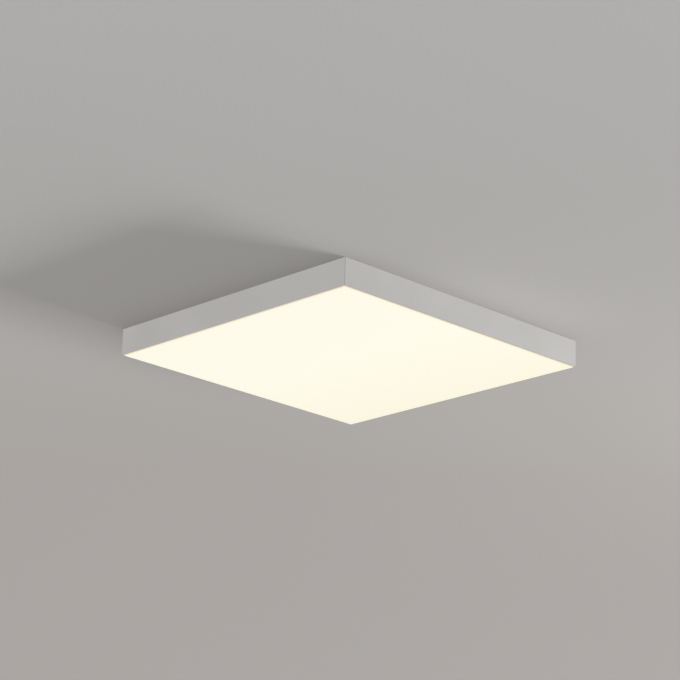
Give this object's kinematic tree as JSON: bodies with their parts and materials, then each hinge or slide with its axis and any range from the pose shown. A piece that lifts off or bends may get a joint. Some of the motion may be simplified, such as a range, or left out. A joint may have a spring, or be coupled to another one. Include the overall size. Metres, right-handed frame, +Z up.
{
  "type": "flush mount ceiling light",
  "caption": "Square flush mount ceiling light: slim mitred frame, glowing opal diffuser, spring-held to ceiling brackets.",
  "frame": {"origin": "centre of the pattern of ceiling screws, in the plane of the ceiling", "axes": "+Z up into the ceiling, so the light hangs below z = 0; +X to the right along the front side; front is -Y"},
  "size_m": [0.6, 0.6, 0.052],
  "materials": {
    "frame_white": "satin",
    "diffuser_opal": "matte",
    "plate_white": "satin",
    "galvanised_steel": "satin",
    "spring_steel": "satin",
    "zinc_screws": "polished",
    "key_aluminium": "satin",
    "reflector_white": "matte",
    "strip_board": "satin",
    "bonding_tape": "matte",
    "connector_white": "matte",
    "phosphor": "gloss",
    "lens_clear": "gloss",
    "driver_white": "matte",
    "circuit_board": "satin",
    "ferrite": "matte",
    "capacitor_can": "satin",
    "terminal_white": "satin",
    "button_brown": "satin",
    "button_blue": "satin",
    "button_green": "satin",
    "contact_brass": "satin",
    "lead_brown": "satin",
    "lead_blue": "satin",
    "lead_green_yellow": "satin",
    "lead_red": "satin",
    "lead_black": "satin",
    "bush_rubber": "matte",
    "saddle_nylon": "matte",
    "tinned_ring": "satin"
  },
  "bodies": {
    "ceiling_brackets": {"bracket_left": "galvanised_steel", "bracket_right": "galvanised_steel"},
    "lamp_body": {"frame_side_front": "frame_white", "frame_side_right": "frame_white", "frame_side_back": "frame_white", "frame_side_left": "frame_white", "corner_key_front_left": "key_aluminium", "corner_key_front_right": "key_aluminium", "corner_key_back_right": "key_aluminium", "corner_key_back_left": "key_aluminium", "corner_grub_screws": "zinc_screws", "diffuser": "diffuser_opal", "reflector_pan": "reflector_white", "back_plate": "plate_white", "back_plate_screws": "zinc_screws", "spring_clip_front_left": "spring_steel", "spring_clip_front_right": "spring_steel", "spring_clip_back_right": "spring_steel", "spring_clip_back_left": "spring_steel", "led_strip_1": "strip_board", "led_strip_2": "strip_board", "led_strip_3": "strip_board", "led_strip_4": "strip_board", "led_strip_5": "strip_board", "strip_tape": "bonding_tape", "bus_strip": "strip_board", "strip_links": "connector_white", "led_packages": "phosphor", "led_lenses": "lens_clear", "driver_base": "driver_white", "driver_cover": "driver_white", "driver_board": "circuit_board", "driver_transformer": "ferrite", "driver_capacitor": "capacitor_can", "driver_choke": "ferrite", "driver_screws": "zinc_screws", "terminal_block": "terminal_white", "terminal_contacts": "contact_brass", "live_lead": "lead_brown", "neutral_lead": "lead_blue", "earth_lead": "lead_green_yellow", "output_lead_positive": "lead_red", "output_lead_negative": "lead_black", "lead_bush": "bush_rubber", "lead_saddle": "saddle_nylon", "earth_ring": "tinned_ring", "earth_washer": "zinc_screws", "earth_screw": "zinc_screws"},
    "live_button": {"terminal_button_live": "button_brown"},
    "neutral_button": {"terminal_button_neutral": "button_blue"},
    "earth_button": {"terminal_button_earth": "button_green"}
  },
  "joints": [
    {"name": "body_drop", "type": "slide", "parent": "ceiling_brackets", "child": "lamp_body", "axis": [0, 0, -1], "range_m": [0, 0.06], "deforming": ["spring_clip_front_left", "spring_clip_front_right", "spring_clip_back_right", "spring_clip_back_left"]},
    {"name": "live_button_press", "type": "slide", "parent": "lamp_body", "child": "live_button", "axis": [0, 0, -1], "range_m": [0, 0.0015], "stiffness_N_per_m": 1500},
    {"name": "neutral_button_press", "type": "slide", "parent": "lamp_body", "child": "neutral_button", "axis": [0, 0, -1], "range_m": [0, 0.0015], "stiffness_N_per_m": 1500},
    {"name": "earth_button_press", "type": "slide", "parent": "lamp_body", "child": "earth_button", "axis": [0, 0, -1], "range_m": [0, 0.0015], "stiffness_N_per_m": 1500}
  ]
}
